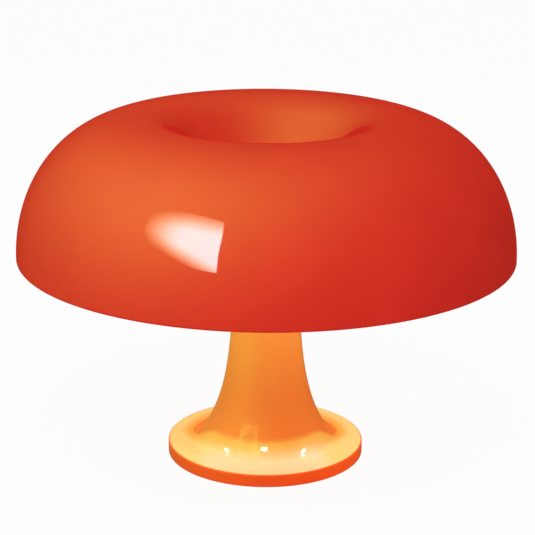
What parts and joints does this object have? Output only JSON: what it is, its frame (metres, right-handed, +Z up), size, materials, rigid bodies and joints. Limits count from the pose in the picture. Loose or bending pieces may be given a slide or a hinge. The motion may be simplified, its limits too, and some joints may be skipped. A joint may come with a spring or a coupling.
{
  "type": "mushroom table lamp",
  "caption": "Low mushroom lamp: a domed shade with a dimpled top over a flared stem on a round foot, with bulbs set crosswise on a hub under the shade.",
  "frame": {"origin": "on the table, under the middle of the foot", "axes": "+Z up along the stem; -Y towards the front; +Y towards the cord inlet; +X to the lamp's right as seen from the front"},
  "size_m": [0.32, 0.32, 0.226],
  "materials": {
    "shade_plastic": "glossy red-orange moulded plastic, slightly translucent",
    "stem_plastic": "glossy orange moulded plastic",
    "plate_paint": "fine textured dark grey powder paint",
    "foot_rubber": "matt black rubber",
    "zinc_steel": "zinc plated steel",
    "ballast_iron": "raw grey casting",
    "black_plastic": "matt black moulded plastic",
    "white_plastic": "off-white heat-proof moulded plastic, fine satin",
    "contact_brass": "drawn brass, lightly dulled",
    "brown_wire": "smooth brown insulation",
    "blue_wire": "smooth blue insulation",
    "core_ceramic": "unglazed white porcelain",
    "bulb_opal": "warm white opal glass, lit",
    "bulb_nickel": "nickel plated lamp cap",
    "black_glaze": "black glass insulator"
  },
  "bodies": {
    "base": {"stem_body": "stem_plastic", "base_plate": "plate_paint", "foot_ring": "foot_rubber", "plate_screws": "zinc_steel", "ballast_ring": "ballast_iron", "cord_gland": "black_plastic", "tie_tube": "zinc_steel", "tie_nut_lower": "zinc_steel", "tie_washer_lower": "zinc_steel", "tie_nut_upper": "zinc_steel", "tie_washer_upper": "zinc_steel", "lamp_hub": "white_plastic", "hub_crown": "white_plastic", "crown_screws": "zinc_steel", "terminal_block": "white_plastic", "terminal_screws": "zinc_steel", "holder_nipples": "contact_brass", "nipple_nuts": "zinc_steel", "centre_contacts": "contact_brass", "wires_live": "brown_wire", "wires_neutral": "blue_wire", "holder_cap_front": "white_plastic", "holder_cap_right": "white_plastic", "holder_cap_back": "white_plastic", "holder_cap_left": "white_plastic", "holder_skirt_front": "white_plastic", "holder_skirt_right": "white_plastic", "holder_skirt_back": "white_plastic", "holder_skirt_left": "white_plastic", "holder_core_front": "core_ceramic", "holder_core_right": "core_ceramic", "holder_core_back": "core_ceramic", "holder_core_left": "core_ceramic", "holder_shell_front": "contact_brass", "holder_shell_right": "contact_brass", "holder_shell_back": "contact_brass", "holder_shell_left": "contact_brass"},
    "shade_unit": {"shade": "shade_plastic"},
    "bulb_front": {"bulb_glass_front": "bulb_opal", "bulb_cap_front": "bulb_nickel", "bulb_insulator_front": "black_glaze", "bulb_tip_front": "bulb_nickel"},
    "bulb_right": {"bulb_glass_right": "bulb_opal", "bulb_cap_right": "bulb_nickel", "bulb_insulator_right": "black_glaze", "bulb_tip_right": "bulb_nickel"},
    "bulb_back": {"bulb_glass_back": "bulb_opal", "bulb_cap_back": "bulb_nickel", "bulb_insulator_back": "black_glaze", "bulb_tip_back": "bulb_nickel"},
    "bulb_left": {"bulb_glass_left": "bulb_opal", "bulb_cap_left": "bulb_nickel", "bulb_insulator_left": "black_glaze", "bulb_tip_left": "bulb_nickel"}
  },
  "joints": [
    {"name": "shade_lift", "type": "slide", "parent": "base", "child": "shade_unit", "axis": [0, 0, 1], "range_m": [0, 0.1]},
    {"name": "bulb_front_out", "type": "slide", "parent": "base", "child": "bulb_front", "axis": [0, -1, 0], "range_m": [0, 0.024]},
    {"name": "bulb_right_out", "type": "slide", "parent": "base", "child": "bulb_right", "axis": [1, 0, 0], "range_m": [0, 0.024]},
    {"name": "bulb_back_out", "type": "slide", "parent": "base", "child": "bulb_back", "axis": [0, 1, 0], "range_m": [0, 0.024]},
    {"name": "bulb_left_out", "type": "slide", "parent": "base", "child": "bulb_left", "axis": [-1, 0, 0], "range_m": [0, 0.024]}
  ]
}
